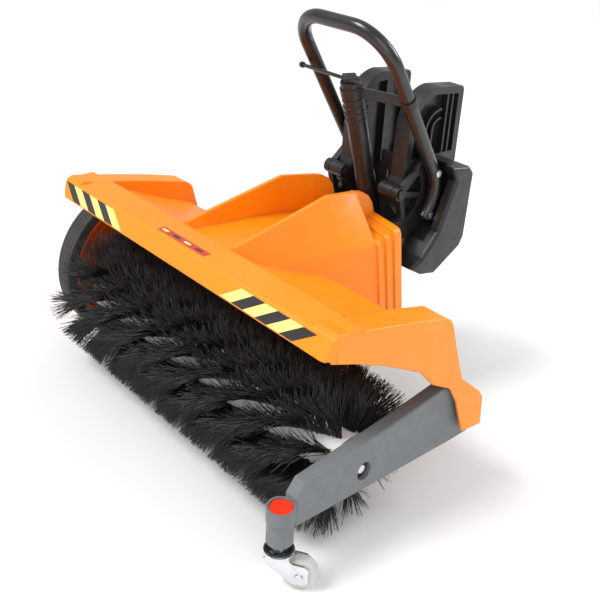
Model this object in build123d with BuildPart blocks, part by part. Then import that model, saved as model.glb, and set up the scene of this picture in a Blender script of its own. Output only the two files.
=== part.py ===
from build123d import *
import math
import os

# Ride-on tractor front sweeper: an orange hood on a side arm with one caster, a ground wheel that
# turns a helical roller brush through two gears, and a tractor adapter with a lift handle.
# All side profiles are (y, z) pairs measured from the brush axis (y = 0) and the floor (z = 0);
# +X runs along the brush towards the caster, +Y towards the tractor, +Z up.

# ---------------------------------------------------------------- driving dimensions (mm)
ORIGIN_X = 6.5              # moves the brush mid-plane so that the origin is the box's bottom centre
ORIGIN_Y = -115.4           # moves the brush axis in front of the box's centre

BRUSH_Z = 101.0             # height of the brush axis
BRUSH_R = 100.0             # bristle tip radius
BRUSH_LEFT = -262.0
BRUSH_RIGHT = 250.0
CORE_R = 32.0
CORE_BORE = 27.0
SHAFT_R = 6.0

GEAR_MODULE = 2.0
PINION_TEETH = 20
WHEEL_GEAR_TEETH = 41
GEAR_WIDTH = 8.0
WHEEL_R = 120.0             # drive wheel radius, which is also the height of its axle
AXLE_GAP = GEAR_MODULE * (PINION_TEETH + WHEEL_GEAR_TEETH) / 2
WHEEL_Z = WHEEL_R
WHEEL_Y = math.sqrt(AXLE_GAP ** 2 - (WHEEL_Z - BRUSH_Z) ** 2)
WHEEL_OUT = -314.0
WHEEL_IN = -282.0
TYRE_DEPTH = 15.0

HOOD_HALF = 272.0           # half length of the front beam
ARM_INNER = 235.0           # inner wall of the hood's side arms
WALL = 3.0                  # moulded wall thickness
FLARE = 0.09                # outward lean of the right side panel, mm per mm of drop
BEAM_TOP = 289.0

SIDE_ARM_IN = 259.0
SIDE_ARM_OUT = 276.0

SWIVEL_X = 268.0
SWIVEL_Y = -113.0
SOCKET_R = 16.0
SOCKET_TOP = 106.0
SOCKET_STEP = 88.0          # above this the socket is a little wider
SOCKET_FOOT = 60.0
CASTER_R = 20.0
CASTER_WIDTH = 16.0
CASTER_TRAIL = 24.0
CASTER_TURN = 40.0          # rest direction of the trailing wheel, degrees from +X towards +Y

PIVOT_Y = 247.0             # lift hinge between the sweeper and the tractor adapter
PIVOT_Z = 306.0
HANDLE_X = 80.0             # handle legs stand at plus and minus this
TUBE_R = 9.0
TUBE_WALL = 1.5
BEND_R = 54.0               # the handle tube's lower bend runs round the lift hinge
LEG_LEAN = 31.9             # angle of the tangent point where the legs leave the bend
HANDLE_TOP_Z = 522.0
HANDLE_CORNER_R = 52.0
ROCKER_IN = 61.0
ROCKER_OUT = 70.6
PIN_R = 5.0
HUB_BOSS_R = 10.0
FIT = 0.05                  # radial clearance of a pin or shaft in its hole

COLUMN_TOP = (207.0, 446.0)
COLUMN_SLOPE = 0.31         # mm of y per mm of drop
COLUMN_R = 13.5
COLUMN_RINGS = (25, 34, 43, 52)   # drops of the moulded rings below the head
LOCK_ROD_R = 5.0
STRAP_Z = 433.0             # height of the strap between column and right leg
STRAP_WIDTH = 13.0
STRAP_THICK = 4.0

STAND_Y = 252.0             # hinge of the fold-away parking stand
STAND_Z = 150.0
STAND_HALF = 30.0
STAND_R = 4.0
STAND_FOOT_Y = 262.0
STAND_LUG = 40.5
STAND_LUG_PROFILE = [(228, 226), (228, 180), (242, 141), (262, 141), (268, 180), (268, 226)]

# ---------------------------------------------------------------- datum planes and helpers
TOP = Plane(origin=(ORIGIN_X, ORIGIN_Y, 0), x_dir=(1, 0, 0), z_dir=(0, 0, 1))
SIDE = Plane(origin=(ORIGIN_X, ORIGIN_Y, 0), x_dir=(0, 1, 0), z_dir=(1, 0, 0))
FRONT = Plane(origin=(ORIGIN_X, ORIGIN_Y, 0), x_dir=(1, 0, 0), z_dir=(0, -1, 0))

os.makedirs("parts", exist_ok=True)


def outline(plane, points):
    """A closed straight-sided face on a plane."""
    with BuildSketch(plane) as face:
        with BuildLine():
            Polyline(*points, close=True)
        make_face()
    return face.sketch


def soft_outline(plane, points, corners):
    """A closed face on a plane whose named corners are rounded."""
    with BuildSketch(plane) as face:
        with BuildLine():
            Polyline(*points, close=True)
        make_face()
        for corner, radius in corners:
            fillet(face.vertices().sort_by_distance((*corner, 0))[0], radius)
    return face.sketch


def disc(plane, centre, radius):
    """A round face on a plane."""
    with BuildSketch(plane) as face:
        with Locations(centre):
            Circle(radius)
    return face.sketch


def slab(points, start, end, mode=Mode.ADD):
    """Extrude a side profile from one X to another into the current part."""
    extrude(outline(SIDE.offset(start), points), amount=end - start, mode=mode)


def soft_slab(points, corners, start, end, mode=Mode.ADD):
    """A slab whose named profile corners are rounded."""
    extrude(soft_outline(SIDE.offset(start), points, corners), amount=end - start, mode=mode)


def rod(centre, radius, start, end, mode=Mode.ADD):
    """A round bar along X in the current part."""
    extrude(disc(SIDE.offset(start), centre, radius), amount=end - start, mode=mode)


def save(piece, name):
    """Label a finished piece and write it under its node's name."""
    piece.part.label = name
    export_step(piece.part, "parts/" + name + ".step")
    box = piece.part.bounding_box()
    print(name, [round(v, 1) for v in (*box.min, *box.max)])


def sector_points(centre, radius, first, last, steps=24):
    """Points along an arc, for profiles made of long arcs."""
    angles = [math.radians(first + (last - first) * i / steps) for i in range(steps + 1)]
    return [(centre[0] + radius * math.cos(a), centre[1] + radius * math.sin(a)) for a in angles]


# ---------------------------------------------------------------- hood
FENDER_OUTER = [(-66, 262), (-56, 286), (-13, 286), (0, 271), (60, 246), (115, 226), (150, 202), (162, 150)]
FENDER_INNER = [(-80, 120), (-80, 262), (-62.7, 262), (-53.8, 283), (-14.4, 283), (-2.2, 268.4),
                (58.6, 243.1), (113.2, 223.4), (147.4, 200), (158.6, 150), (158.6, 120)]
BEAM_INNER = [(-80, 220), (-80, 262), (-62.7, 262), (-53.8, 283), (-14.4, 283), (-14.4, 220)]
ARM_TOP = [(-66, 262), (-56, 286), (-49, BEAM_TOP), (15, 277), (69, 266), (118, 254), (126, 248), (136, 212)]
ARM_BOTTOM = [(98, 177), (76, 201), (21, 229), (-25, 248)]
ARM_REAR = [(150, 166), (128, 161)]
ARM_CAVITY = [(-90, 240), (-63, 261), (-53.5, 283.2), (-48.4, 285.9), (14, 274), (68, 263), (116, 251.3),
              (123.4, 246), (133, 211), (146.5, 166), (146.5, 80), (-90, 80)]
LUG = [(120, 167), (128, 172), (150, 166), (183, 138), (190, 127), (190, 90), (155, 93), (140, 140), (128, 161)]
LUG_CAVITY = [(100, 163), (147, 163), (180.6, 135.5), (187, 126), (187, 60), (100, 60)]
LUG_INNER = 256.0
HOOD_SIDE = HOOD_HALF - 2       # side planes of the hood at its top
ARM_CORNERS = (((-56, 286), 5), ((126, 248), 16), ((136, 212), 12), ((118, 254), 20), ((98, 177), 14),
               ((76, 201), 20), ((21, 229), 40))
LUG_CORNERS = (((183, 138), 5), ((190, 90), 2), ((140, 140), 10))
CORNER_R = 15.0
CORNER_FILL = [(-64.5, 263), (-55, 284), (-38, 284), (-38, 263)]
FENDER_CORNERS = (((-56, 286), 5), ((-13, 286), 4), ((150, 202), 14))
BODY_FLOOR = 150.0
BODY_SECTIONS = [
    # y, ridge top z, ridge outer x, shoulder x, shoulder z, wall foot x, channel floor z
    (-12, 289, 51, 63, 240, 84, 279),
    (75, 307, 49, 67, 254, 92, 276),
    (137, 320, 47, 77, 256, 100, 270),
    (190, 313, 42, 88, 253, 106, 262),
]
RIB_STARTS = (190.0, 203.0, 216.0)
RIB_END = 229.0
RIDGE_WIDTH = 6.0
CHANNEL_REAR_Z = 262.0
SCREW_XS = (-22.0, 22.0)
SCREW_Y = 210.0
SCREW_R = 2.5


def body_section(station, inset):
    """Cross-section of the centre body at one station, shrunk by the wall inside."""
    y, ridge_z, ridge_x, shoulder_x, shoulder_z, foot_x, channel_z = station
    right = [
        (foot_x - inset, BODY_FLOOR - 4 * inset),
        (shoulder_x - inset, shoulder_z - inset),
        (ridge_x - 0.4 * inset, ridge_z - 2 * inset),
        (ridge_x - RIDGE_WIDTH + 0.4 * inset, ridge_z - 2 * inset),
        (ridge_x - RIDGE_WIDTH - 3 + 0.2 * inset, channel_z - inset),
    ]
    left = [(-x, z) for x, z in reversed(right)]
    return outline(FRONT.offset(-y), right + left)


def rib_section(y, step, inset):
    """One of the three stepped ribs that frame the body's rear."""
    shoulder_z = 258 + 6 * step
    right = [(107.5 + 1.5 * step - inset, BODY_FLOOR - 4 * inset)]
    corner = (89.5 + 1.5 * step - inset, shoulder_z - inset)
    inner = (33, 262 - inset)
    top_inner = (36, 271 + 3 * step - inset)
    with BuildSketch(FRONT.offset(-y)) as face:
        with BuildLine():
            points = right + [corner, top_inner, inner]
            Polyline(*points, *[(-x, z) for x, z in reversed(points)], close=True)
        make_face()
        corners = face.vertices().filter_by(lambda v: abs(v.Y - corner[1]) < 0.01)
        fillet(corners, radius=11 - inset)
    return face.sketch


EDGE_START = 200.0  # the arms are rounded above this height only


def leaning_trough(outer, corners, cavity, inner, sign, lean, edge):
    """A hood arm or lug: a slab cut by the leaning outer plane, rounded along it, hollowed to one wall."""
    with BuildPart() as hollow:
        slab(cavity, sign * (inner + WALL), sign * (HOOD_HALF + 30))
        split(bisect_by=lean.offset(-WALL), keep=Keep.BOTTOM)
    with BuildPart() as trough:
        soft_slab(outer, corners, sign * inner, sign * (HOOD_HALF + 20))
        split(bisect_by=lean, keep=Keep.BOTTOM)
        face = trough.faces().sort_by(lambda f: f.center().dot(lean.z_dir))[-1]
        if edge:
            fillet(face.edges().filter_by(lambda e: e.center().Z > EDGE_START), radius=edge)
        add(hollow.part, mode=Mode.SUBTRACT)
    return trough.part


def hood_arm(sign, flare):
    """One side arm of the hood: an upturned trough that runs back along the brush end."""
    lean = Plane(
        origin=SIDE.offset(sign * HOOD_SIDE).from_local_coords((0, BEAM_TOP, 0)),
        x_dir=(0, 1, 0),
        z_dir=(sign, 0, flare),
    )
    profile = ARM_TOP + ARM_REAR + ARM_BOTTOM
    with BuildPart() as arm:
        add(leaning_trough(profile, ARM_CORNERS, ARM_CAVITY, ARM_INNER, sign, lean, 2.5))
        if flare:
            add(leaning_trough(LUG, LUG_CORNERS, LUG_CAVITY, LUG_INNER, sign, lean, 0.0))
    return arm.part


def front_corner(sign):
    """Cutter that rounds the vertical corner between the beam's front and one end."""
    edge_x, edge_y = sign * (HOOD_SIDE + 1.5), FENDER_OUTER[0][0] - 1
    centre = (edge_x - sign * CORNER_R, edge_y + CORNER_R)
    with BuildSketch(TOP.offset(200)) as cutter:
        with Locations((edge_x + sign * 4, edge_y - 4)):
            Rectangle(2 * CORNER_R + 8, 2 * CORNER_R + 8)
        with Locations((centre[0] - sign * CORNER_R, centre[1])):
            Rectangle(2 * CORNER_R, 60, mode=Mode.SUBTRACT)
        with Locations((centre[0], centre[1] + CORNER_R)):
            Rectangle(60, 2 * CORNER_R, mode=Mode.SUBTRACT)
        with Locations(centre):
            Circle(CORNER_R, mode=Mode.SUBTRACT)
    return cutter.sketch


def make_hood():
    with BuildPart() as hood:
        soft_slab(FENDER_OUTER[:3] + [(-13, 262)], FENDER_CORNERS[:2], -HOOD_SIDE, HOOD_SIDE)
        soft_slab(FENDER_OUTER + ARM_REAR[1:] + ARM_BOTTOM, FENDER_CORNERS, -ARM_INNER - 1, ARM_INNER + 1)
        loft(sections=[body_section(s, 0) for s in BODY_SECTIONS], ruled=True)
        for step, start in enumerate(RIB_STARTS):
            extrude(rib_section(start, step, 0), amount=-(RIB_END - start) if step == 2 else -13.0)
        for side in (-1, 1):
            slab([(188, 255), (188, 313.5), (203, 310), (215, 303), (223, 292), (228, 277), (228, 255)],
                 side * 35, side * 42)
        loft(sections=[body_section(s, WALL) for s in BODY_SECTIONS], ruled=True, mode=Mode.SUBTRACT)
        extrude(rib_section(RIB_STARTS[0] - 0.01, 0, WALL), amount=-60, mode=Mode.SUBTRACT)
        slab(FENDER_INNER, -ARM_INNER + 2, ARM_INNER - 2, mode=Mode.SUBTRACT)
        slab(BEAM_INNER, -HOOD_SIDE + WALL, HOOD_SIDE - WALL, mode=Mode.SUBTRACT)
        add(hood_arm(1, FLARE))
        add(hood_arm(-1, 0.0))
        for sign in (-1, 1):
            slab(CORNER_FILL, sign * (HOOD_SIDE - 18), sign * (HOOD_SIDE - 0.5))
            extrude(front_corner(sign), amount=120, mode=Mode.SUBTRACT)
        for x in SCREW_XS:
            extrude(disc(TOP.offset(CHANNEL_REAR_Z + 10), (x, SCREW_Y), SCREW_R), amount=-20, mode=Mode.SUBTRACT)
        for centre in ARM_BOLTS:
            rod(centre, ARM_BOLT_R, LUG_INNER - 1, SIDE_ARM_IN, mode=Mode.SUBTRACT)
        for centre in PLATE_SCREWS:
            rod(centre, PLATE_SCREW_R, -HOOD_HALF, -HOOD_SIDE + 6, mode=Mode.SUBTRACT)
    save(hood, "hood_shell")


def make_hood_screws():
    """Two pan-head screws through the channel floor into the rear carrier."""
    with BuildPart() as screws:
        for x in SCREW_XS:
            extrude(disc(TOP.offset(CHANNEL_REAR_Z), (x, SCREW_Y), 5), amount=3)
            extrude(disc(TOP.offset(CHANNEL_REAR_Z), (x, SCREW_Y), SCREW_R), amount=-22)
        fillet(screws.faces().sort_by(Axis.Z)[-2:].edges(), radius=1.2)
    save(screws, "hood_screws")


# ---------------------------------------------------------------- right side arm and caster
SIDE_ARM_PROFILE = [(-99.5, 74), (-99.5, 112), (-88, 127.5), (55, 148), (122, 160), (144, 161), (178, 134),
                    (185.5, 124), (185.5, 80), (180, 75), (150, 74)]
SIDE_ARM_CAVITY = [(-95, 77), (-95, 111), (-85, 123.5), (55, 144.6), (121, 156.4), (142.5, 157.5),
                   (175.5, 131.5), (182, 122.5), (182, 82), (178, 78), (150, 77)]
STEM_R = 5.5
SIDE_ARM_RIBS = (-62, -26, 26, 62, 98, 130)
AXLE_SLOT = (10.0, 12.0)
ARM_BOLTS = ((150, 141), (168, 112))
ARM_BOLT_R = 3.0


def make_side_arm():
    with BuildPart() as arm:
        slab(SIDE_ARM_PROFILE, SIDE_ARM_IN, SIDE_ARM_OUT)
        fillet(arm.edges().filter_by(Axis.X).group_by(Axis.Y)[-1], radius=3)
        chamfer(arm.faces().sort_by(Axis.X)[-1].edges(), length=1.5)
        slab(SIDE_ARM_CAVITY, SIDE_ARM_IN, SIDE_ARM_OUT - WALL, mode=Mode.SUBTRACT)
        for y in SIDE_ARM_RIBS:
            slab([(y, 76), (y + 2.5, 76), (y + 2.5, 126), (y, 126)], SIDE_ARM_IN + 1, SIDE_ARM_OUT - 1)
        rod((0, BRUSH_Z), 18, SIDE_ARM_IN, SIDE_ARM_OUT)
        for centre in ARM_BOLTS:
            rod(centre, ARM_BOLT_R + 4, SIDE_ARM_IN, SIDE_ARM_OUT)
            rod(centre, ARM_BOLT_R, SIDE_ARM_IN - 1, SIDE_ARM_OUT - WALL, mode=Mode.SUBTRACT)
        with BuildSketch(SIDE.offset(SIDE_ARM_IN - 1)):
            with Locations((0, BRUSH_Z)):
                Ellipse(*AXLE_SLOT)
        extrude(amount=30, mode=Mode.SUBTRACT)
        extrude(disc(TOP.offset(SOCKET_FOOT), (SWIVEL_X, SWIVEL_Y), SOCKET_R - 1), amount=SOCKET_STEP - SOCKET_FOOT)
        extrude(disc(TOP.offset(SOCKET_STEP), (SWIVEL_X, SWIVEL_Y), SOCKET_R), amount=SOCKET_TOP - SOCKET_STEP)
        with BuildSketch(TOP.offset(76)):
            with Locations((SWIVEL_X, -97)):
                Rectangle(9, 6)
        extrude(amount=26)
        extrude(disc(TOP.offset(SOCKET_TOP), (SWIVEL_X, SWIVEL_Y), 13.3), amount=-4, mode=Mode.SUBTRACT)
        extrude(disc(TOP.offset(SOCKET_TOP), (SWIVEL_X, SWIVEL_Y), STEM_R + FIT), amount=-60, mode=Mode.SUBTRACT)
    save(arm, "side_arm")


def make_arm_bolts():
    """Two bolts that clamp the side arm to the hood's clip lug, from inside."""
    with BuildPart() as bolts:
        for centre in ARM_BOLTS:
            rod(centre, ARM_BOLT_R, LUG_INNER, SIDE_ARM_OUT - WALL)
            rod(centre, ARM_BOLT_R + 2.5, LUG_INNER - 3, LUG_INNER)
    save(bolts, "arm_bolts")


def make_socket_cap():
    """Red plug that closes the caster socket."""
    with BuildPart() as cap:
        extrude(disc(TOP.offset(SOCKET_TOP - 4), (SWIVEL_X, SWIVEL_Y), 13.2), amount=2.6)
        fillet(cap.faces().sort_by(Axis.Z)[-1].edges(), radius=0.8)
    save(cap, "socket_cap")


def make_axle_bearing():
    """White bearing block that fills the side arm's oval slot and carries the brush shaft."""
    with BuildPart() as bearing:
        with BuildSketch(SIDE.offset(SIDE_ARM_IN)):
            with Locations((0, BRUSH_Z)):
                Ellipse(AXLE_SLOT[0] - 0.3, AXLE_SLOT[1] - 0.3)
        extrude(amount=SIDE_ARM_OUT - SIDE_ARM_IN - 6)
        rod((0, BRUSH_Z), 15, SIDE_ARM_IN - 2.5, SIDE_ARM_IN)
        rod((0, BRUSH_Z), SHAFT_R + FIT, SIDE_ARM_IN - 10, SIDE_ARM_OUT, mode=Mode.SUBTRACT)
    save(bearing, "axle_bearing")


CASTER = Plane(
    origin=(ORIGIN_X + SWIVEL_X, ORIGIN_Y + SWIVEL_Y, 0),
    x_dir=(math.cos(math.radians(CASTER_TURN)), math.sin(math.radians(CASTER_TURN)), 0),
    z_dir=(0, 0, 1),
)
CASTER_SIDE = Plane(origin=CASTER.origin, x_dir=CASTER.x_dir, z_dir=-CASTER.y_dir)
CHEEK_IN = CASTER_WIDTH / 2 + 1
CHEEK_OUT = CHEEK_IN + 2.2
CUP_TOP = 48.0
CUP_FOOT = 41.0
CUP_R = 17.0
CHEEK = [(-15, 42), (-13, 36), (13, 13), (19, 10), (29, 10), (34, 14), (34.5, 32), (30, 36), (15, 38), (13, 42)]
CHEEK_BRIDGE = [(-11, 38.5), (0, 38.5), (0, 42), (-11, 42)]


def make_caster_stem():
    with BuildPart() as stem:
        extrude(disc(CASTER.offset(CUP_FOOT + 0.5), (0, 0), STEM_R), amount=57)
        with BuildSketch(CASTER.offset(CUP_TOP - 3)):
            RegularPolygon(radius=9.5, side_count=6)
        extrude(amount=SOCKET_FOOT - CUP_TOP + 2.6)
    save(stem, "caster_stem")


def make_caster_fork():
    with BuildPart() as fork:
        extrude(disc(CASTER.offset(CUP_FOOT), (0, 0), CUP_R), amount=CUP_TOP - CUP_FOOT)
        fillet(fork.edges().group_by(Axis.Z)[0], radius=2)
        extrude(disc(CASTER.offset(CUP_TOP), (0, 0), CUP_R - 2.5), amount=-4, mode=Mode.SUBTRACT)
        for side in (-1, 1):
            extrude(outline(CASTER_SIDE.offset(side * CHEEK_IN), CHEEK), amount=side * (CHEEK_OUT - CHEEK_IN))
        extrude(outline(CASTER_SIDE.offset(-CHEEK_OUT), CHEEK_BRIDGE), amount=2 * CHEEK_OUT)
        extrude(disc(CASTER_SIDE.offset(-20), (CASTER_TRAIL, CASTER_R), 3), amount=40, mode=Mode.SUBTRACT)
        extrude(disc(CASTER.offset(CUP_TOP), (0, 0), STEM_R), amount=CUP_FOOT + 0.5 - CUP_TOP, mode=Mode.SUBTRACT)
    save(fork, "caster_fork")


def make_caster_race():
    """Dark bearing ring lying in the fork's cup."""
    with BuildPart() as race:
        extrude(disc(CASTER.offset(CUP_TOP - 4), (0, 0), CUP_R - 2.6), amount=3)
        extrude(disc(CASTER.offset(CUP_TOP), (0, 0), 10), amount=-6, mode=Mode.SUBTRACT)
        fillet(race.edges().group_by(Axis.Z)[-1], radius=1)
    save(race, "caster_race")


def make_caster_wheel():
    with BuildPart() as wheel:
        extrude(disc(CASTER_SIDE.offset(-CASTER_WIDTH / 2), (CASTER_TRAIL, CASTER_R), CASTER_R),
                amount=CASTER_WIDTH)
        fillet(wheel.edges(), radius=4.5)
        extrude(disc(CASTER_SIDE.offset(-12), (CASTER_TRAIL, CASTER_R), 3 + FIT), amount=24, mode=Mode.SUBTRACT)
    save(wheel, "caster_wheel")


def ends_of(part, direction):
    """The rim edges of a turned part's two end faces."""
    faces = part.faces().sort_by(lambda face: face.center().dot(direction))
    return faces[0].edges() + faces[-1].edges()


def make_caster_axle():
    with BuildPart() as axle:
        extrude(disc(CASTER_SIDE.offset(-CHEEK_OUT), (CASTER_TRAIL, CASTER_R), 3), amount=2 * CHEEK_OUT)
        for side in (-1, 1):
            extrude(disc(CASTER_SIDE.offset(side * CHEEK_OUT), (CASTER_TRAIL, CASTER_R), 5), amount=side * 2.2)
        fillet(ends_of(axle, CASTER_SIDE.z_dir), radius=0.8)
    save(axle, "caster_axle")


# ---------------------------------------------------------------- brush
PLUG_LENGTH = 12.0
SHAFT_LEFT = -294.0
SHAFT_RIGHT = 272.0


def make_brush_core():
    with BuildPart() as core:
        rod((0, BRUSH_Z), CORE_R, BRUSH_LEFT - 2, BRUSH_RIGHT + 2)
        rod((0, BRUSH_Z), CORE_BORE, BRUSH_LEFT - 2, BRUSH_RIGHT + 2, mode=Mode.SUBTRACT)
    save(core, "brush_core")


def make_core_plugs():
    """Two plugs that hold the core tube on the shaft."""
    with BuildPart() as plugs:
        for start in (BRUSH_LEFT - 2, BRUSH_RIGHT + 2 - PLUG_LENGTH):
            rod((0, BRUSH_Z), CORE_BORE, start, start + PLUG_LENGTH)
            rod((0, BRUSH_Z), SHAFT_R, start - 1, start + PLUG_LENGTH + 1, mode=Mode.SUBTRACT)
    save(plugs, "core_plugs")


def make_bristles():
    """Plain tip envelope of the helical tufts, round the core."""
    with BuildPart() as bristles:
        rod((0, BRUSH_Z), BRUSH_R, BRUSH_LEFT, BRUSH_RIGHT)
        rod((0, BRUSH_Z), CORE_R + 0.2, BRUSH_LEFT - 1, BRUSH_RIGHT + 1, mode=Mode.SUBTRACT)
    save(bristles, "bristles")


def make_brush_shaft():
    with BuildPart() as shaft:
        rod((0, BRUSH_Z), SHAFT_R, SHAFT_LEFT, SHAFT_RIGHT)
        chamfer(shaft.edges(), length=0.8)
    save(shaft, "brush_shaft")


# ---------------------------------------------------------------- gears
PRESSURE_ANGLE = 20.0
BACKLASH = 0.25
GEAR_LEFT = -293.0


def involute(base_radius, radius):
    """Polar angle of the involute of a base circle, at a radius."""
    t = math.sqrt(max((radius / base_radius) ** 2 - 1, 0))
    return t - math.atan(t)


def gear_profile(teeth, centre, tooth_angle):
    """Side profile of a spur gear with one tooth centred on the given angle."""
    pitch_radius = GEAR_MODULE * teeth / 2
    base_radius = pitch_radius * math.cos(math.radians(PRESSURE_ANGLE))
    root_radius = pitch_radius - 1.25 * GEAR_MODULE
    tip_radius = pitch_radius + GEAR_MODULE
    half_tooth = (math.pi * GEAR_MODULE / 2 - BACKLASH) / (2 * pitch_radius)
    flank_start = max(base_radius, root_radius)
    radii = [flank_start + (tip_radius - flank_start) * i / 5 for i in range(6)]
    flank = [(r, half_tooth + involute(base_radius, pitch_radius) - involute(base_radius, r)) for r in radii]
    tooth = [(root_radius, flank[0][1] + 0.01)] + flank
    points = []
    for index in range(teeth):
        middle = math.radians(tooth_angle) + 2 * math.pi * index / teeth
        for radius, angle in [(r, -a) for r, a in tooth] + list(reversed(tooth)):
            points.append((centre[0] + radius * math.cos(middle + angle),
                           centre[1] + radius * math.sin(middle + angle)))
    return points


MESH_ANGLE = math.degrees(math.atan2(WHEEL_Z - BRUSH_Z, WHEEL_Y))


def make_brush_pinion():
    with BuildPart() as pinion:
        slab(gear_profile(PINION_TEETH, (0, BRUSH_Z), MESH_ANGLE), GEAR_LEFT, GEAR_LEFT + GEAR_WIDTH)
        rod((0, BRUSH_Z), SHAFT_R, GEAR_LEFT - 1, GEAR_LEFT + GEAR_WIDTH + 1, mode=Mode.SUBTRACT)
    save(pinion, "brush_pinion")


def make_wheel_gear():
    gap_angle = MESH_ANGLE + 180 + 180 / WHEEL_GEAR_TEETH
    with BuildPart() as gear:
        slab(gear_profile(WHEEL_GEAR_TEETH, (WHEEL_Y, WHEEL_Z), gap_angle), GEAR_LEFT, GEAR_LEFT + GEAR_WIDTH)
        rod((WHEEL_Y, WHEEL_Z), HUB_R, GEAR_LEFT - 1, GEAR_LEFT + GEAR_WIDTH + 1, mode=Mode.SUBTRACT)
    save(gear, "wheel_gear")


# ---------------------------------------------------------------- drive wheel
HUB_R = 16.0
AXLE_R = 6.0
RIM_R = WHEEL_R - TYRE_DEPTH
PLATE_OUT = -279.0
PLATE_IN = -273.0
PLATE_SCREWS = ((62, 226), (112, 218))
PLATE_SCREW_R = 3.0
HOOD_LEFT = -HOOD_SIDE          # outer face of the hood's left arm
WHEEL_CENTRE = (WHEEL_Y, WHEEL_Z)


def make_tyre():
    with BuildPart() as tyre:
        rod(WHEEL_CENTRE, WHEEL_R, WHEEL_OUT, WHEEL_IN)
        fillet(tyre.edges(), radius=3.5)
        for x in (-307, -301, -295, -289):
            rod(WHEEL_CENTRE, WHEEL_R + 5, x, x + 1.6, mode=Mode.SUBTRACT)
            rod(WHEEL_CENTRE, WHEEL_R - 1.8, x - 0.2, x + 1.8)
        rod(WHEEL_CENTRE, RIM_R, WHEEL_OUT - 1, WHEEL_IN + 1, mode=Mode.SUBTRACT)
    save(tyre, "wheel_tyre")


def make_wheel_disc():
    with BuildPart() as wheel:
        rod(WHEEL_CENTRE, RIM_R, WHEEL_OUT + 1, WHEEL_IN - 1)
        rod(WHEEL_CENTRE, RIM_R - 4, WHEEL_OUT + 7, WHEEL_IN, mode=Mode.SUBTRACT)
        rod(WHEEL_CENTRE, RIM_R - 10, WHEEL_OUT, WHEEL_OUT + 3, mode=Mode.SUBTRACT)
        rod(WHEEL_CENTRE, HUB_R, WHEEL_OUT + 1, WHEEL_IN - 1)
        with BuildSketch(SIDE.offset(WHEEL_OUT + 6)):
            with Locations(WHEEL_CENTRE):
                with PolarLocations(75, 12):
                    Rectangle(58, 3)
        extrude(amount=13)
        with BuildSketch(SIDE.offset(WHEEL_OUT + 6)):
            with Locations(WHEEL_CENTRE):
                Circle(80)
                Circle(77, mode=Mode.SUBTRACT)
        extrude(amount=9)
        rod(WHEEL_CENTRE, AXLE_R + FIT, WHEEL_OUT - 1, WHEEL_IN + 1, mode=Mode.SUBTRACT)
    save(wheel, "wheel_disc")


def make_wheel_axle():
    """Fixed bolt that the drive wheel turns on."""
    with BuildPart() as axle:
        rod(WHEEL_CENTRE, AXLE_R, WHEEL_OUT - 1.5, PLATE_IN)
        with BuildSketch(SIDE.offset(PLATE_IN)):
            with Locations(WHEEL_CENTRE):
                RegularPolygon(radius=9.5, side_count=6)
        extrude(amount=6)
        rod(WHEEL_CENTRE, AXLE_R + 4, WHEEL_OUT - 4, WHEEL_OUT - 1)
        fillet(axle.faces().sort_by(Axis.X)[0].edges(), radius=1)
    save(axle, "wheel_axle")


def make_drive_arm():
    """Left plate between hood, brush shaft and wheel axle."""
    with BuildPart() as plate:
        with BuildSketch(SIDE.offset(PLATE_OUT)):
            for centre, radius in (((0, BRUSH_Z), 17), (WHEEL_CENTRE, 19), ((62, 226), 11), ((112, 218), 11)):
                with Locations(centre):
                    Circle(radius)
            make_hull()
        extrude(amount=PLATE_IN - PLATE_OUT)
        fillet(plate.edges().group_by(Axis.X)[-1], radius=1.5)
        rod((0, BRUSH_Z), 10, PLATE_OUT - 1, PLATE_IN + 1, mode=Mode.SUBTRACT)
        rod(WHEEL_CENTRE, AXLE_R, PLATE_OUT - 1, PLATE_IN + 1, mode=Mode.SUBTRACT)
        for centre in PLATE_SCREWS:
            rod(centre, 9, PLATE_IN, HOOD_LEFT)
            rod(centre, PLATE_SCREW_R, PLATE_OUT - 1, HOOD_LEFT + 1, mode=Mode.SUBTRACT)
    save(plate, "drive_arm")


def make_drive_arm_screws():
    """Two screws through the left plate into the hood's left arm."""
    with BuildPart() as screws:
        for centre in PLATE_SCREWS:
            rod(centre, PLATE_SCREW_R, PLATE_OUT, HOOD_LEFT + 6)
            rod(centre, PLATE_SCREW_R + 2.5, PLATE_OUT - 2, PLATE_OUT)
    save(screws, "drive_arm_screws")


def make_shaft_bush():
    """White bush that carries the brush shaft's left end."""
    with BuildPart() as bush:
        rod((0, BRUSH_Z), 10, PLATE_OUT, PLATE_IN + 3)
        rod((0, BRUSH_Z), 14, PLATE_IN, PLATE_IN + 3)
        rod((0, BRUSH_Z), SHAFT_R + FIT, PLATE_OUT - 1, PLATE_IN + 4, mode=Mode.SUBTRACT)
    save(bush, "shaft_bush")


# ---------------------------------------------------------------- rear carrier, rockers and lift handle
def make_rear_carrier():
    """Black block inside the hood's rear that joins hood, rockers, column and stand."""
    with BuildPart() as carrier:
        with BuildSketch(TOP.offset(168)):
            with Locations((0, 211)):
                Rectangle(121.4, 34)
        extrude(amount=90.9)
        with BuildSketch(TOP.offset(168)):
            with Locations((0, 207)):
                Rectangle(113, 34)
        extrude(amount=86, mode=Mode.SUBTRACT)
        with BuildSketch(TOP.offset(222)):
            with Locations((0, 240)):
                Rectangle(84, 92)
        extrude(amount=9)
        for x in (-STAND_LUG, STAND_LUG - 6):
            slab(STAND_LUG_PROFILE, x, x + 6)
        rod((STAND_Y, STAND_Z), STAND_R, -STAND_LUG - 1, STAND_LUG + 1, mode=Mode.SUBTRACT)
        for x in SCREW_XS:
            extrude(disc(TOP.offset(CHANNEL_REAR_Z), (x, SCREW_Y), SCREW_R), amount=-30, mode=Mode.SUBTRACT)
        column_cut(COLUMN_R, 30)
    save(carrier, "rear_carrier")


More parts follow.
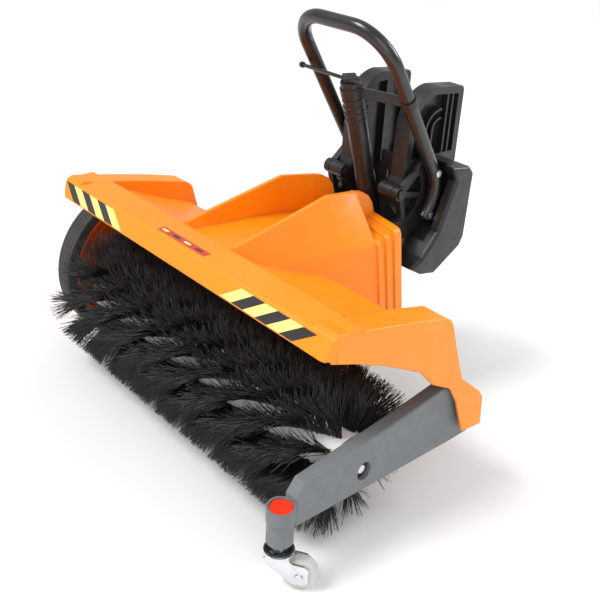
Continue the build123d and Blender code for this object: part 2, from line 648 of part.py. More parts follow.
def column_plane(drop):
    """Plane across the column at a drop below its top, facing up along it."""
    y, z = COLUMN_TOP[0] + COLUMN_SLOPE * drop, COLUMN_TOP[1] - drop
    return Plane(
        origin=(ORIGIN_X, ORIGIN_Y + y, z),
        x_dir=(1, 0, 0),
        z_dir=(0, -COLUMN_SLOPE, 1),
    )


COLUMN_DROP = 219.0


def column_cut(radius, length):
    """Blind hole for the column's foot in the current part."""
    plane = column_plane(COLUMN_DROP)
    with BuildSketch(plane) as hole:
        Circle(radius)
    extrude(hole.sketch, amount=length, mode=Mode.SUBTRACT)


def make_rocker(side, sign):
    """Crescent arm that runs round the lift hinge and ties the handle to the carrier."""
    pivot = (PIVOT_Y, PIVOT_Z)
    with BuildPart() as rocker:
        crescent = sector_points(pivot, 68, -106, 48) + list(reversed(sector_points(pivot, 39, -106, 48)))
        slab(crescent, sign * ROCKER_IN, sign * ROCKER_OUT)
        rod(pivot, HUB_BOSS_R, sign * ROCKER_IN, sign * ROCKER_OUT)
        for angle in (-75, -12, 40):
            a = math.radians(angle)
            u, n = (math.cos(a), math.sin(a)), (-math.sin(a) * 4, math.cos(a) * 4)
            near = (PIVOT_Y + 8 * u[0], PIVOT_Z + 8 * u[1])
            far = (PIVOT_Y + 45 * u[0], PIVOT_Z + 45 * u[1])
            slab([(near[0] - n[0], near[1] - n[1]), (far[0] - n[0], far[1] - n[1]),
                  (far[0] + n[0], far[1] + n[1]), (near[0] + n[0], near[1] + n[1])],
                 sign * ROCKER_IN, sign * ROCKER_OUT)
        slab([(199, 226), (232, 226), (250, 239), (244, 262), (199, 252)], sign * ROCKER_IN, sign * ROCKER_OUT)
        rod(pivot, PIN_R + FIT, sign * (ROCKER_IN - 1), sign * (ROCKER_OUT + 1), mode=Mode.SUBTRACT)
        for centre in RIVETS:
            rod(centre, RIVET_R, sign * (ROCKER_IN - 1), sign * (ROCKER_OUT + 1), mode=Mode.SUBTRACT)
        for centre in CARRIER_BOLTS:
            rod(centre, RIVET_R, sign * (ROCKER_IN - 1), sign * (ROCKER_OUT + 1), mode=Mode.SUBTRACT)
    save(rocker, "rocker_" + side)


RIVET_R = 3.0
RIVETS = tuple(
    (PIVOT_Y + BEND_R * math.cos(math.radians(a)), PIVOT_Z + BEND_R * math.sin(math.radians(a))) for a in (28, -38)
)
CARRIER_BOLTS = ((206, 239), (222, 239))


def space(x, y, z):
    """A point of the model's frame from the shared (x, y, z)."""
    return Vector(ORIGIN_X + x, ORIGIN_Y + y, z)


def handle_path():
    """Centre line of the lift handle's tube, from the right end to the left end."""
    lean = math.radians(LEG_LEAN)
    leg = (-math.sin(lean), math.cos(lean))
    foot = (PIVOT_Y + BEND_R * math.cos(lean), PIVOT_Z + BEND_R * math.sin(lean))
    rise = (HANDLE_TOP_Z - foot[1]) / leg[1]

    def on_leg(x, length):
        return space(x, foot[0] + leg[0] * length, foot[1] + leg[1] * length)

    def on_bend(x, angle):
        a = math.radians(angle)
        return space(x, PIVOT_Y + BEND_R * math.cos(a), PIVOT_Z + BEND_R * math.sin(a))

    shoulder = rise - HANDLE_CORNER_R
    inner = HANDLE_X - HANDLE_CORNER_R
    knee = HANDLE_CORNER_R * math.sqrt(0.5)
    with BuildLine() as path:
        ThreePointArc(on_bend(HANDLE_X, -46), on_bend(HANDLE_X, -8), on_bend(HANDLE_X, LEG_LEAN))
        Line(on_leg(HANDLE_X, 0), on_leg(HANDLE_X, shoulder))
        ThreePointArc(on_leg(HANDLE_X, shoulder), on_leg(inner + knee, shoulder + knee), on_leg(inner, rise))
        Line(on_leg(inner, rise), on_leg(-inner, rise))
        ThreePointArc(on_leg(-inner, rise), on_leg(-inner - knee, shoulder + knee), on_leg(-HANDLE_X, shoulder))
        Line(on_leg(-HANDLE_X, shoulder), on_leg(-HANDLE_X, 0))
        ThreePointArc(on_bend(-HANDLE_X, LEG_LEAN), on_bend(-HANDLE_X, -8), on_bend(-HANDLE_X, -46))
    return path.line


def make_lift_handle():
    path = handle_path()
    with BuildPart() as handle:
        with BuildSketch(Plane(origin=path @ 0, z_dir=path % 0)) as section:
            Circle(TUBE_R)
            Circle(TUBE_R - TUBE_WALL, mode=Mode.SUBTRACT)
        sweep(section.sketch, path=path)
        for centre in RIVETS:
            rod(centre, RIVET_R, -HANDLE_X - 20, HANDLE_X + 20, mode=Mode.SUBTRACT)
    save(handle, "lift_handle")


def make_handle_rivets():
    """Four rivets through tube and rocker."""
    with BuildPart() as rivets:
        for sign in (-1, 1):
            for centre in RIVETS:
                rod(centre, RIVET_R, sign * (ROCKER_IN - 0.4), sign * (HANDLE_X + TUBE_R))
                rod(centre, RIVET_R + 2, sign * (HANDLE_X + TUBE_R), sign * (HANDLE_X + TUBE_R + 2))
    save(rivets, "handle_rivets")


def make_rocker_bolts():
    with BuildPart() as bolts:
        for sign in (-1, 1):
            for centre in CARRIER_BOLTS:
                rod(centre, RIVET_R, sign * (ROCKER_IN - 0.2), sign * ROCKER_OUT)
                rod(centre, 5.5, sign * ROCKER_OUT, sign * (ROCKER_OUT + 3))
    save(bolts, "rocker_bolts")


def make_pivot_pins():
    """The two headed pins of the lift hinge, fixed in the adapter's hook boxes."""
    with BuildPart() as pins:
        for sign in (-1, 1):
            rod((PIVOT_Y, PIVOT_Z), PIN_R, sign * (HOOK_IN - 2), sign * (ROCKER_OUT + 0.6))
            rod((PIVOT_Y, PIVOT_Z), PIN_R + 2, sign * (ROCKER_OUT + 0.6), sign * (ROCKER_OUT + 2.6))
    save(pins, "pivot_pins")


def make_cross_strap():
    """Flat strap from the column's head to the right leg of the handle, with a collar at each end."""
    lean = math.radians(LEG_LEAN)
    leg_y = PIVOT_Y + BEND_R * math.cos(lean) - (STRAP_Z - PIVOT_Z - BEND_R * math.sin(lean)) * math.tan(lean)
    column_y = COLUMN_TOP[0] + COLUMN_SLOPE * (COLUMN_TOP[1] - STRAP_Z)
    leg_plane = Plane(
        origin=space(HANDLE_X, leg_y, STRAP_Z), x_dir=(1, 0, 0), z_dir=(0, -math.sin(lean), math.cos(lean))
    )
    strap_plane = Plane(
        origin=space(0, column_y, STRAP_Z), x_dir=(0, 0, 1), z_dir=(HANDLE_X, leg_y - column_y, 0)
    )
    with BuildPart() as strap:
        with BuildSketch(strap_plane):
            Rectangle(STRAP_WIDTH, STRAP_THICK)
        extrude(amount=math.hypot(HANDLE_X, leg_y - column_y))
        with BuildSketch(leg_plane.offset(-5)):
            Circle(TUBE_R + 2)
        extrude(amount=10)
        with BuildSketch(column_plane(COLUMN_TOP[1] - STRAP_Z + 5)):
            Circle(COLUMN_R + 1.8)
        extrude(amount=11)
        with BuildSketch(leg_plane.offset(-20)):
            Circle(TUBE_R)
        extrude(amount=40, mode=Mode.SUBTRACT)
        with BuildSketch(column_plane(40)):
            Circle(COLUMN_R)
        extrude(amount=60, mode=Mode.SUBTRACT)
    save(strap, "cross_strap")


# ---------------------------------------------------------------- column and lock rod
def make_column():
    """Guide column of the lock rod, with moulded rings below its head."""
    axis_length = COLUMN_DROP * math.sqrt(1 + COLUMN_SLOPE ** 2)
    with BuildPart() as column:
        with BuildSketch(column_plane(COLUMN_DROP)):
            Circle(COLUMN_R)
        extrude(amount=axis_length)
        for drop in COLUMN_RINGS:
            with BuildSketch(column_plane(drop)):
                Circle(COLUMN_R + 1.3)
            extrude(amount=3)
        with BuildSketch(column_plane(-1)):
            Circle(LOCK_ROD_R + FIT)
        extrude(amount=-90, mode=Mode.SUBTRACT)
    save(column, "guide_column")


LEVER_END = -90.0
LOCK_TRAVEL_GAP = 0.5


def make_lock_rod():
    """Rod with a lozenge cap that slides in the column's head."""
    with BuildPart() as rod_part:
        with BuildSketch(column_plane(70)):
            Circle(LOCK_ROD_R)
        extrude(amount=80)
        with BuildSketch(column_plane(-LOCK_TRAVEL_GAP)):
            with BuildLine():
                Polyline((-15, 0), (0, 10), (15, 0), (0, -10), close=True)
            make_face()
        extrude(amount=6)
        fillet(rod_part.edges().filter_by(lambda e: abs(e.length - 6) < 0.01), radius=1.5)
        with BuildSketch(SIDE.offset(-40)):
            with Locations((COLUMN_TOP[0] - 5, COLUMN_TOP[1] + 2.2)):
                Circle(2.5)
        extrude(amount=80, mode=Mode.SUBTRACT)
    save(rod_part, "lock_rod")


def make_release_lever():
    """Thin lever through the lozenge cap, with a small end stop."""
    centre = (COLUMN_TOP[0] - 5, COLUMN_TOP[1] + 2.2)
    with BuildPart() as lever:
        rod(centre, 2.5, LEVER_END, 18)
        rod(centre, 4, LEVER_END, LEVER_END + 5)
        fillet(lever.faces().sort_by(Axis.X)[0].edges(), radius=1)
    save(lever, "release_lever")


# ---------------------------------------------------------------- parking stand
def make_stand():
    """Bent rod foot that keeps the detached sweeper level."""
    with BuildLine() as path:
        FilletPolyline(
            space(-STAND_HALF, STAND_Y, STAND_Z), space(-STAND_HALF, STAND_FOOT_Y, STAND_R),
            space(STAND_HALF, STAND_FOOT_Y, STAND_R), space(STAND_HALF, STAND_Y, STAND_Z), radius=12,
        )
    with BuildPart() as stand:
        with BuildSketch(Plane(origin=path.line @ 0, z_dir=path.line % 0)) as section:
            Circle(STAND_R)
        sweep(section.sketch, path=path.line)
        for side in (-1, 1):
            rod((STAND_Y, STAND_Z), 2 * STAND_R, side * STAND_HALF - STAND_R, side * STAND_HALF + STAND_R)
        rod((STAND_Y, STAND_Z), STAND_R + FIT, -STAND_LUG, STAND_LUG, mode=Mode.SUBTRACT)
    save(stand, "parking_stand")


def make_stand_pin():
    with BuildPart() as pin:
        rod((STAND_Y, STAND_Z), STAND_R, -STAND_LUG, STAND_LUG)
        for start in (-STAND_LUG - 2, STAND_LUG):
            rod((STAND_Y, STAND_Z), STAND_R + 2.5, start, start + 2)
    save(pin, "stand_pin")


# ---------------------------------------------------------------- tractor adapter
HOOK_IN = 36.0
HOOK_OUT = 60.0
POD_OUT = 108.0
POD_WALL_IN = 93.0
SWEEP_R = 72.0
HOOK_ARC = (312, 388)
HOOK_PROFILE = [(250, 296), (259, 322), (262, 388)] + sector_points(HOOK_ARC, 50, 172, 94, 12) + [
    (359, 433), (362, 428), (362, 330), (352, 300), (320, 226), (292, 226), (276, 262)]
POD_PROFILE = [(300, 344), (338, 338), (347, 328), (345, 236), (338, 222), (290, 193), (264, 198), (240, 212),
               (262, 224), (287, 254), (312, 322)]
POD_CAVITY = [(306, 338), (336, 334), (343.5, 326), (341.5, 237), (336, 225), (289.5, 197), (265, 201.5),
              (252, 211), (266, 222), (291, 253), (316, 322)]


def make_hook_box(side, sign):
    with BuildPart() as box:
        slab(HOOK_PROFILE, sign * HOOK_IN, sign * HOOK_OUT)
        rod((PIVOT_Y, PIVOT_Z), HUB_BOSS_R, sign * HOOK_IN, sign * HOOK_OUT)
        pocket = [(272, 345), (272, 388)] + sector_points(HOOK_ARC, 40, 172, 94, 10) + [(352, 424), (352, 345)]
        slab(pocket, sign * (HOOK_OUT - 12), sign * (HOOK_OUT + 1), mode=Mode.SUBTRACT)
        for radius in (16, 28):
            track = sector_points((322, 380), radius, 180, 90, 12)
            track += list(reversed(sector_points((322, 380), radius - 3, 180, 90, 12)))
            slab(track, sign * (HOOK_OUT - 13), sign * (HOOK_OUT - 1))
            slab([(322 - radius, 344), (325 - radius, 344), (325 - radius, 381), (322 - radius, 381)],
                 sign * (HOOK_OUT - 13), sign * (HOOK_OUT - 1))
        for y in (331, 341):
            slab([(y, 344), (y + 3, 344), (y + 3, 426), (y, 426)], sign * (HOOK_OUT - 13), sign * (HOOK_OUT - 1))
        slab([(270, 330), (270, 384), (300, 425), (351, 425), (354, 332), (346, 300), (318, 234), (296, 234),
              (284, 262), (276, 300)], sign * (HOOK_IN - 1), sign * (HOOK_OUT - 15), mode=Mode.SUBTRACT)
        slab([(280, 262), (283, 262), (283, 420), (280, 420)], sign * (HOOK_IN + 1), sign * (HOOK_OUT - 14))
        slab([(316, 230), (319, 230), (319, 426), (316, 426)], sign * (HOOK_IN + 1), sign * (HOOK_OUT - 14))
        rod((PIVOT_Y, PIVOT_Z), PIN_R, sign * (HOOK_IN - 2), sign * (HOOK_OUT + 1), mode=Mode.SUBTRACT)
    save(box, "hook_box_" + side)


def make_pod(side, sign):
    with BuildPart() as pod:
        slab(POD_PROFILE, sign * HOOK_OUT, sign * POD_OUT)
        outer = pod.faces().sort_by(Axis.X)[-1 if sign > 0 else 0]
        fillet(outer.edges(), radius=5)
        with BuildSketch(SIDE.offset(sign * (HOOK_OUT - 1))) as cavity:
            with BuildLine():
                Polyline(*POD_CAVITY, close=True)
            make_face()
            with Locations((PIVOT_Y, PIVOT_Z)):
                Circle(SWEEP_R + WALL, mode=Mode.SUBTRACT)
        extrude(cavity.sketch, amount=sign * (POD_OUT - HOOK_OUT - 2), mode=Mode.SUBTRACT)
        rod((PIVOT_Y, PIVOT_Z), SWEEP_R, sign * (HOOK_OUT - 1), sign * POD_WALL_IN, mode=Mode.SUBTRACT)
    save(pod, "pod_" + side)


def make_centre_plate():
    """Plate with a square latch window between the hook boxes."""
    with BuildPart() as plate:
        with BuildSketch(FRONT.offset(-298)):
            with BuildLine():
                Polyline((-HOOK_IN, 240), (HOOK_IN, 240), (HOOK_IN, 300), (19, 318), (19, 334),
                         (-19, 334), (-19, 318), (-HOOK_IN, 300), close=True)
            make_face()
            with Locations((0, 302)):
                Rectangle(12, 12, mode=Mode.SUBTRACT)
        extrude(amount=-4)
        slab([(298, 228), (314, 228), (314, 240), (298, 240)], -HOOK_IN, HOOK_IN)
    save(plate, "centre_plate")


def make_plate_screws():
    with BuildPart() as screws:
        for side in (-1, 1):
            with BuildSketch(FRONT.offset(-298)):
                with Locations((side * 29, 248)):
                    Circle(4.5)
            extrude(amount=3)
    save(screws, "plate_screws")


make_hood()
make_hood_screws()
make_side_arm()
make_socket_cap()
make_arm_bolts()
make_axle_bearing()
make_caster_stem()
make_caster_fork()
make_caster_race()
make_caster_wheel()
make_caster_axle()
make_brush_core()
make_core_plugs()
make_bristles()
make_brush_shaft()
make_brush_pinion()
make_wheel_gear()
make_tyre()
make_wheel_disc()
make_wheel_axle()
make_drive_arm()
make_drive_arm_screws()
make_shaft_bush()
make_rear_carrier()
for side, sign in (("left", -1), ("right", 1)):
    make_rocker(side, sign)
    make_hook_box(side, sign)
    make_pod(side, sign)
make_lift_handle()
make_handle_rivets()
make_rocker_bolts()
make_pivot_pins()
make_cross_strap()
make_column()
make_lock_rod()
make_release_lever()
make_stand()
make_stand_pin()
make_centre_plate()
make_plate_screws()
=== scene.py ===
import math

import bpy
import numpy as np
from mathutils import Matrix, Vector


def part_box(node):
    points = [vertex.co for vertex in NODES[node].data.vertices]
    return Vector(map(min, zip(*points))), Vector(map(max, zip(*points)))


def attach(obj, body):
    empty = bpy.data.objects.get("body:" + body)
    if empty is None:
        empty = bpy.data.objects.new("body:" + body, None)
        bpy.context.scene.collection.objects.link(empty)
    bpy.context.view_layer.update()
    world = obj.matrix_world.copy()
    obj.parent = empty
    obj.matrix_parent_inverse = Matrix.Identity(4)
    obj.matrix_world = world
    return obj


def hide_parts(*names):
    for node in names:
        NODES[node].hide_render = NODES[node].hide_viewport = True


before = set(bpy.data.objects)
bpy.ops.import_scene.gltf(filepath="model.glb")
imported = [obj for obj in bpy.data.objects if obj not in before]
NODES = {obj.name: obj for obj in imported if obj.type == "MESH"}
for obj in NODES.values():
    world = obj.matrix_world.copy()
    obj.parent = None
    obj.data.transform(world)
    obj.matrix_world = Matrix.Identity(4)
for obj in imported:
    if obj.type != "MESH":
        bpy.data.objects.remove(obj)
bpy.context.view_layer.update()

MM = 0.001


# ---------------------------------------------------------------- places read from the frame
def middle(node):
    low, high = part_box(node)
    return (low + high) / 2


CORE_LOW, CORE_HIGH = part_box("brush_core")
BRISTLE_LOW, BRISTLE_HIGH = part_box("bristles")
AXIS = middle("brush_core")                      # a point on the brush axis
CORE_R = (CORE_HIGH.z - CORE_LOW.z) / 2
TIP_R = (BRISTLE_HIGH.z - BRISTLE_LOW.z) / 2
HOOD_LOW, HOOD_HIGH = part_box("hood_shell")


# ---------------------------------------------------------------- materials
def shader(name, color, roughness, metallic=0.0):
    """A Principled material; returns it with its tree and its Principled node."""
    mat = bpy.data.materials.new(name)
    mat.use_nodes = True
    tree = mat.node_tree
    bsdf = tree.nodes["Principled BSDF"]
    bsdf.inputs["Base Color"].default_value = (*color, 1)
    bsdf.inputs["Roughness"].default_value = roughness
    bsdf.inputs["Metallic"].default_value = metallic
    return mat, tree, bsdf


def noise(tree, scale, detail=4.0, stretch=(1, 1, 1)):
    """Noise over object coordinates; returns its factor socket."""
    coords = tree.nodes.new("ShaderNodeTexCoord")
    mapping = tree.nodes.new("ShaderNodeMapping")
    mapping.inputs["Scale"].default_value = stretch
    texture = tree.nodes.new("ShaderNodeTexNoise")
    texture.inputs["Scale"].default_value = scale
    texture.inputs["Detail"].default_value = detail
    tree.links.new(coords.outputs["Object"], mapping.inputs["Vector"])
    tree.links.new(mapping.outputs["Vector"], texture.inputs["Vector"])
    return texture.outputs["Fac"]


def ramp(tree, factor, stops):
    """A colour ramp over a factor; stops are (position, linear colour)."""
    node = tree.nodes.new("ShaderNodeValToRGB")
    node.color_ramp.elements[0].position = stops[0][0]
    node.color_ramp.elements[0].color = (*stops[0][1], 1)
    node.color_ramp.elements[1].position = stops[-1][0]
    node.color_ramp.elements[1].color = (*stops[-1][1], 1)
    for position, color in stops[1:-1]:
        node.color_ramp.elements.new(position).color = (*color, 1)
    tree.links.new(factor, node.inputs["Fac"])
    return node.outputs["Color"]


def relief(tree, bsdf, height, distance, edge):
    """Bump from a height socket over rounded edges."""
    round_edge = tree.nodes.new("ShaderNodeBevel")
    round_edge.samples = 6
    round_edge.inputs["Radius"].default_value = edge
    bump = tree.nodes.new("ShaderNodeBump")
    bump.inputs["Strength"].default_value = 0.5
    bump.inputs["Distance"].default_value = distance
    tree.links.new(round_edge.outputs["Normal"], bump.inputs["Normal"])
    tree.links.new(height, bump.inputs["Height"])
    tree.links.new(bump.outputs["Normal"], bsdf.inputs["Normal"])


def shades(color, low, high):
    """A darker and a lighter version of a colour."""
    return tuple(c * low for c in color), tuple(min(c * high, 1) for c in color)


def plastic(name, color, roughness, grain, depth, edge, spread=0.12, coat=0.0):
    """Moulded plastic: fine surface grain, slightly uneven colour and gloss."""
    mat, tree, bsdf = shader(name, color, roughness)
    dark, light = shades(color, 1 - spread, 1 + spread)
    cloud = noise(tree, 9.0, 3.0)
    tree.links.new(ramp(tree, cloud, [(0.3, dark), (0.7, light)]), bsdf.inputs["Base Color"])
    gloss = noise(tree, 60.0, 6.0)
    low, high = (roughness * 0.82,) * 3, (min(roughness * 1.25, 1),) * 3
    tree.links.new(ramp(tree, gloss, [(0.35, low), (0.65, high)]), bsdf.inputs["Roughness"])
    relief(tree, bsdf, noise(tree, grain, 2.0), depth, edge)
    bsdf.inputs["Coat Weight"].default_value = coat
    bsdf.inputs["Coat Roughness"].default_value = 0.12
    return mat


def metal(name, color, roughness, stretch):
    """Plated or drawn metal: fine directional scratches and cloudy gloss."""
    mat, tree, bsdf = shader(name, color, roughness, metallic=1.0)
    scratches = noise(tree, 260.0, 5.0, stretch)
    dark, light = shades(color, 0.78, 1.05)
    tree.links.new(ramp(tree, noise(tree, 45.0), [(0.3, dark), (0.7, light)]), bsdf.inputs["Base Color"])
    low, high = (roughness * 0.7,) * 3, (roughness * 1.5,) * 3
    tree.links.new(ramp(tree, scratches, [(0.3, low), (0.7, high)]), bsdf.inputs["Roughness"])
    relief(tree, bsdf, scratches, 0.05 * MM, 0.4 * MM)
    return mat


def rubber(name):
    """Dark tyre rubber, dusty in patches."""
    mat, tree, bsdf = shader(name, (0.03, 0.03, 0.03), 0.6)
    dust = noise(tree, 28.0, 8.0)
    tree.links.new(ramp(tree, dust, [(0.3, (0.022, 0.022, 0.023)), (0.75, (0.06, 0.058, 0.055))]),
                   bsdf.inputs["Base Color"])
    relief(tree, bsdf, noise(tree, 900.0, 3.0), 0.12 * MM, 0.8 * MM)
    return mat


def nylon(name):
    """Black bristle filament with a long soft highlight."""
    mat, tree, bsdf = shader(name, (0.008, 0.008, 0.008), 0.38)
    strand = noise(tree, 420.0, 2.0)
    tree.links.new(ramp(tree, strand, [(0.3, (0.004, 0.004, 0.004)), (0.62, (0.016, 0.015, 0.015)),
                                       (0.8, (0.05, 0.047, 0.045))]), bsdf.inputs["Base Color"])
    return mat


ORANGE = plastic("orange_plastic", (0.95, 0.27, 0.0), 0.42, 700.0, 0.05 * MM, 2.4 * MM, 0.05, 0.08)
WHEEL_ORANGE = plastic("wheel_orange_plastic", (0.95, 0.17, 0.006), 0.4, 500.0, 0.06 * MM, 1.2 * MM, 0.08)
RED = plastic("red_plastic", (0.85, 0.035, 0.008), 0.35, 600.0, 0.05 * MM, 0.8 * MM)
GREY = plastic("grey_plastic", (0.15, 0.165, 0.175), 0.5, 1500.0, 0.09 * MM, 1.6 * MM, 0.07)
BLACK = plastic("black_plastic", (0.012, 0.012, 0.013), 0.36, 1400.0, 0.08 * MM, 1.2 * MM, 0.3)
COATED = plastic("black_powder_coat", (0.012, 0.012, 0.013), 0.3, 1100.0, 0.07 * MM, 0.6 * MM, 0.3, 0.3)
WHITE = plastic("white_plastic", (0.82, 0.82, 0.80), 0.45, 500.0, 0.08 * MM, 0.5 * MM, 0.04)
PALE = plastic("caster_tread_plastic", (0.50, 0.50, 0.48), 0.42, 700.0, 0.08 * MM, 0.6 * MM, 0.12)
ZINC = metal("zinc_plate", (0.78, 0.79, 0.81), 0.2, (1, 1, 0.12))
STEEL = metal("bright_steel", (0.72, 0.72, 0.73), 0.24, (0.1, 1, 1))
TYRE = rubber("tyre_rubber")
NYLON = nylon("bristle_nylon")
LABEL_YELLOW = plastic("label_yellow", (0.95, 0.75, 0.22), 0.3, 300.0, 0.02 * MM, 0.1 * MM, 0.04, 0.3)
LABEL_BLACK = plastic("label_black", (0.02, 0.018, 0.016), 0.32, 300.0, 0.02 * MM, 0.1 * MM, 0.1, 0.3)
LABEL_RED = plastic("label_red", (0.55, 0.035, 0.008), 0.32, 300.0, 0.02 * MM, 0.1 * MM, 0.08, 0.3)

FINISHES = {
    ORANGE: ["hood_shell"],
    WHEEL_ORANGE: ["wheel_disc"],
    RED: ["socket_cap"],
    GREY: ["side_arm"],
    TYRE: ["wheel_tyre"],
    WHITE: ["brush_core", "core_plugs", "shaft_bush"],
    PALE: ["caster_wheel"],
    ZINC: ["caster_fork", "caster_axle", "hood_screws", "plate_screws", "rocker_bolts", "handle_rivets",
           "arm_bolts", "drive_arm_screws"],
    STEEL: ["caster_stem", "wheel_axle", "stand_pin", "brush_shaft", "parking_stand"],
    COATED: ["lift_handle", "release_lever"],
    BLACK: ["rear_carrier", "rocker_left", "rocker_right", "hook_box_left", "hook_box_right", "pod_left",
            "pod_right", "centre_plate", "guide_column", "lock_rod", "caster_race", "brush_pinion",
            "wheel_gear", "drive_arm", "cross_strap", "axle_bearing", "pivot_pins"],
}
for material, names in FINISHES.items():
    for name in names:
        for material_slot in NODES[name].material_slots:
            material_slot.material = material


# ---------------------------------------------------------------- mesh helpers
def piece(name, points, faces, material, body, smooth=False):
    """A new mesh piece that rides on a body."""
    mesh = bpy.data.meshes.new(name)
    mesh.from_pydata(points, [], faces)
    mesh.validate()
    mesh.materials.append(material)
    made = bpy.data.objects.new(name, mesh)
    bpy.context.scene.collection.objects.link(made)
    if smooth:
        mesh.shade_smooth()
    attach(made, body)
    return made


# ---------------------------------------------------------------- brush
ROWS = 10                     # helical rows of tufts
TWIST = -math.tau / 0.62      # turn of a row per metre along the brush
TUFTS = 34                    # tufts in a row
STRANDS = 60                  # bristles in a tuft
STRAND_R = 0.55 * MM
ROOT_STRAY = 0.045            # scatter of the roots about their row, radians
TUFT_LEAN = 0.05              # how far whole tufts lean, radians
TUFT_SLIDE = 3.0 * MM         # and slide along the brush
TIP_FAN = 0.25                # half the fan of a tuft's tips, radians
TIP_STRAY = 0.035
TIP_SLIDE = 3.2 * MM
WIDENING = 0.35               # how much wider a tuft is at the tips than at the roots
LEFT_FLARE, LEFT_REACH = 60 * MM, 20 * MM        # the last tufts lean outward over this length, this far
RIGHT_FLARE, RIGHT_REACH = 40 * MM, 12 * MM
END_GAP = 4 * MM
TIP_WEAR = 0.22               # the shortest bristles lack this share of the tip radius
RINGS = ((0.0, 1.0), (0.5, 1.0), (1.0, 0.55))    # share of the bristle's length, share of its radius
rng = np.random.default_rng(11)


def bristle_row(index):
    """One helical row: tufts that leave the core close together and fan out to the tips."""
    low, high = BRISTLE_LOW.x + END_GAP, BRISTLE_HIGH.x - END_GAP
    count = TUFTS * STRANDS
    tuft = np.repeat(np.arange(TUFTS), STRANDS)
    centre = low + (high - low) * (tuft + 0.5) / TUFTS
    spacing = (high - low) / TUFTS
    root_x = centre + rng.uniform(-0.5, 0.5, count) * spacing
    row_angle = math.tau * index / ROWS + TWIST * (root_x - AXIS.x)
    root_angle = row_angle + rng.normal(0, ROOT_STRAY, count)
    tuft_lean = rng.normal(0, TUFT_LEAN, TUFTS)[tuft]
    tuft_slide = rng.normal(0, TUFT_SLIDE, TUFTS)[tuft]
    spread = rng.uniform(-1, 1, count)
    tip_angle = row_angle + tuft_lean + TIP_FAN * spread + rng.normal(0, TIP_STRAY, count)
    tip_x = root_x + tuft_slide + (root_x - centre) * WIDENING + rng.normal(0, TIP_SLIDE, count)
    to_left = np.clip(1 - (root_x - low) / LEFT_FLARE, 0, 1)
    to_right = np.clip(1 - (high - root_x) / RIGHT_FLARE, 0, 1)
    tip_x += -rng.uniform(0.1, 1.0, count) * to_left ** 2 * LEFT_REACH
    tip_x += rng.uniform(0.1, 1.0, count) * to_right ** 2 * RIGHT_REACH
    tip_x = np.clip(tip_x, BRISTLE_LOW.x - 13 * MM, BRISTLE_HIGH.x + 6 * MM)
    tip_radius = TIP_R * (1 - rng.beta(1.2, 6.0, count) * TIP_WEAR)
    bend = rng.uniform(0.25, 0.5, count)
    points = np.empty((count, 9, 3))
    for ring, (along, width) in enumerate(RINGS):
        share = along if along in (0.0, 1.0) else bend
        radius = CORE_R + (tip_radius - CORE_R) * along
        angle = root_angle + (tip_angle - root_angle) * share
        x = root_x + (tip_x - root_x) * (along * along if along == 0.5 else along)
        for corner in range(3):
            turn = math.tau * corner / 3
            off_x, off_t = STRAND_R * width * math.cos(turn), STRAND_R * width * math.sin(turn)
            points[:, ring * 3 + corner, 0] = x + off_x
            points[:, ring * 3 + corner, 1] = AXIS.y + radius * np.cos(angle) - off_t * np.sin(angle)
            points[:, ring * 3 + corner, 2] = AXIS.z + radius * np.sin(angle) + off_t * np.cos(angle)
    pattern = []
    for ring in range(2):
        for corner in range(3):
            a, b = ring * 3 + corner, ring * 3 + (corner + 1) % 3
            pattern.append((a, b, b + 3, a + 3))
    quads = (np.array(pattern)[None] + 9 * np.arange(count)[:, None, None]).reshape(-1, 4).tolist()
    tips = (np.array([6, 7, 8])[None] + 9 * np.arange(count)[:, None]).tolist()
    return piece(f"bristle_row_{index:02d}", points.reshape(-1, 3).tolist(), quads + tips,
                 NYLON, "brush", smooth=True)


bristle_rows = [bristle_row(index) for index in range(ROWS)]
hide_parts("bristles")


# ---------------------------------------------------------------- hazard band on the hood's front
STRIPES = 6                   # in each group, yellow innermost
STRIPE_PITCH = 20.5 * MM
STRIPE_START = 100.5 * MM     # from the middle to a group's inner end
STRIPE_SLANT = 29.5 * MM      # how far a stripe's top stands outward of its foot
LEFT_SHIFT = 9 * MM           # the left group sits this much nearer the hood's end
STRIPE_THICK = 0.3 * MM
FACE_FOOT = HOOD_HIGH.z - 58 * MM                # the leaning front face starts here
FACE_LEAN = 10 / 24                              # and recedes this much per unit of height
BAND = (HOOD_HIGH.z - 56.5 * MM, HOOD_HIGH.z - 38 * MM)
BOX_FACES = [(0, 1, 2, 3), (7, 6, 5, 4), (0, 4, 5, 1), (1, 5, 6, 2), (2, 6, 7, 3), (3, 7, 4, 0)]


def stripe(side, index):
    """One slanted stripe, a thin slab that lies on the leaning front face."""
    inner = STRIPE_START + index * STRIPE_PITCH + (LEFT_SHIFT if side < 0 else 0)
    outer = inner + STRIPE_PITCH
    foot, top = BAND
    outline = [(inner, foot), (outer, foot), (outer + STRIPE_SLANT, top), (inner + STRIPE_SLANT, top)]
    corners = []
    for depth in (STRIPE_THICK, -STRIPE_THICK):
        for across, height in outline:
            y = HOOD_LOW.y + (height - FACE_FOOT) * FACE_LEAN - depth
            corners.append((AXIS.x + side * across, y, height))
    name = f"hazard_stripe_{'right' if side > 0 else 'left'}_{index}"
    material, slot = (LABEL_BLACK, "black_plastic") if index % 2 else (LABEL_YELLOW, "wheel_orange")
    piece(name, corners, BOX_FACES, material, "chassis")


for side in (-1, 1):
    for index in range(STRIPES):
        stripe(side, index)


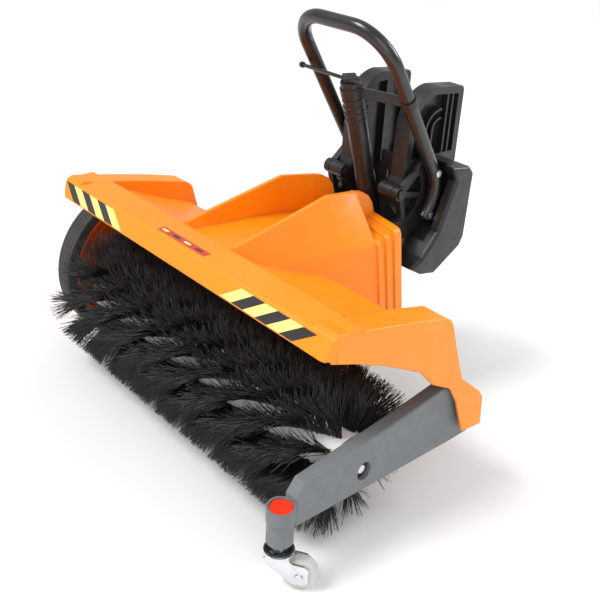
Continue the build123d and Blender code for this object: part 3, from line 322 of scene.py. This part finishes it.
# ---------------------------------------------------------------- plain label on the hood's top band
BAND_TOP = HOOD_HIGH.z - 34 * MM
LABEL_WIDTH, LABEL_DEPTH = 96 * MM, 11 * MM
LABEL_FRONT = 16 * MM         # from the hood's front to the label
LABEL_RISE = 0.3 * MM         # the label's thickness over the band
DASHES = 4
DASH_START, DASH_PITCH = -44, 23                 # millimetres from the middle
DASH_WIDTH, DASH_DEPTH = 12 * MM, 4 * MM
DASH_FRONT = 19.5 * MM
DASH_RISE = 0.5 * MM


def label_slab(name, start, width, front, depth, rise, material):
    """A flat slab on the top band; start and front are measured from the middle and the hood's front."""
    left, near = AXIS.x + start, HOOD_LOW.y + front
    right, far = left + width, near + depth
    top = BAND_TOP + rise
    outline = [(left, near), (right, near), (right, far), (left, far)]
    corners = [(x, y, z) for z in (top - rise - STRIPE_THICK, top) for x, y in outline]
    piece(name, corners, BOX_FACES, material, "chassis")


label_slab("label_ground", -LABEL_WIDTH / 2, LABEL_WIDTH, LABEL_FRONT, LABEL_DEPTH, LABEL_RISE, LABEL_RED)
for index in range(DASHES):
    dash_material, dash_slot = (LABEL_BLACK, "black_plastic") if index % 2 else (LABEL_YELLOW, "wheel_orange")
    label_slab(f"label_dash_{index}", (DASH_START + DASH_PITCH * index) * MM, DASH_WIDTH, DASH_FRONT,
               DASH_DEPTH, DASH_RISE, dash_material)


# ---------------------------------------------------------------- floor, light and camera
def make_floor():
    bpy.ops.mesh.primitive_plane_add(size=14)
    floor = bpy.context.object
    floor.name = "floor"
    mat, tree, bsdf = shader("floor_paper", (0.86, 0.86, 0.86), 0.7)
    tree.links.new(ramp(tree, noise(tree, 2.0), [(0.3, (0.84, 0.84, 0.84)), (0.7, (0.88, 0.88, 0.88))]),
                   bsdf.inputs["Base Color"])
    floor.data.materials.append(mat)


def area_light(name, place, target, size, watts, color=(1, 1, 1)):
    light = bpy.data.lights.new(name, "AREA")
    light.shape = "DISK"
    light.size = size
    light.energy = watts
    light.color = color
    lamp = bpy.data.objects.new(name, light)
    lamp.location = place
    lamp.rotation_mode = "QUATERNION"
    lamp.rotation_quaternion = (Vector(target) - Vector(place)).to_track_quat("-Z", "Y")
    bpy.context.scene.collection.objects.link(lamp)


def make_lights():
    sun = bpy.data.lights.new("key", "SUN")
    sun.energy = 2.3
    sun.angle = math.radians(25)                 # wide enough for a soft-edged shadow
    key = bpy.data.objects.new("key", sun)
    key.rotation_mode = "QUATERNION"
    key.rotation_quaternion = Vector((0.35, 0.62, -1.0)).to_track_quat("-Z", "Y")
    bpy.context.scene.collection.objects.link(key)
    area_light("fill", (1.6, -1.1, 1.2), (0, 0, 0.2), 1.6, 12)
    area_light("rim", (0.7, 1.7, 1.3), (0, 0.1, 0.3), 0.8, 16)
    world = bpy.data.worlds.new("studio")
    world.use_nodes = True
    world.node_tree.nodes["Background"].inputs["Color"].default_value = (1, 1, 1, 1)
    world.node_tree.nodes["Background"].inputs["Strength"].default_value = 0.6
    bpy.context.scene.world = world


YAW, PITCH, ROLL = math.radians(47.6), math.radians(28.14), math.radians(3.21)
EYE = Vector((0.8023, -0.7003, 0.7274))
LENS = 53.2


def make_camera():
    forward = Vector((-math.sin(YAW) * math.cos(PITCH), math.cos(YAW) * math.cos(PITCH), -math.sin(PITCH)))
    right = forward.cross(Vector((0, 0, 1))).normalized()
    down = forward.cross(right)
    right, down = (math.cos(ROLL) * right - math.sin(ROLL) * down,
                   math.sin(ROLL) * right + math.cos(ROLL) * down)
    data = bpy.data.cameras.new("camera")
    data.lens = LENS
    data.sensor_width = 36
    camera = bpy.data.objects.new("camera", data)
    camera.matrix_world = Matrix.Translation(EYE) @ Matrix((right, -down, -forward)).transposed().to_4x4()
    bpy.context.scene.collection.objects.link(camera)
    bpy.context.scene.camera = camera


make_floor()
make_lights()
make_camera()
bpy.context.scene.view_settings.view_transform = "Standard"
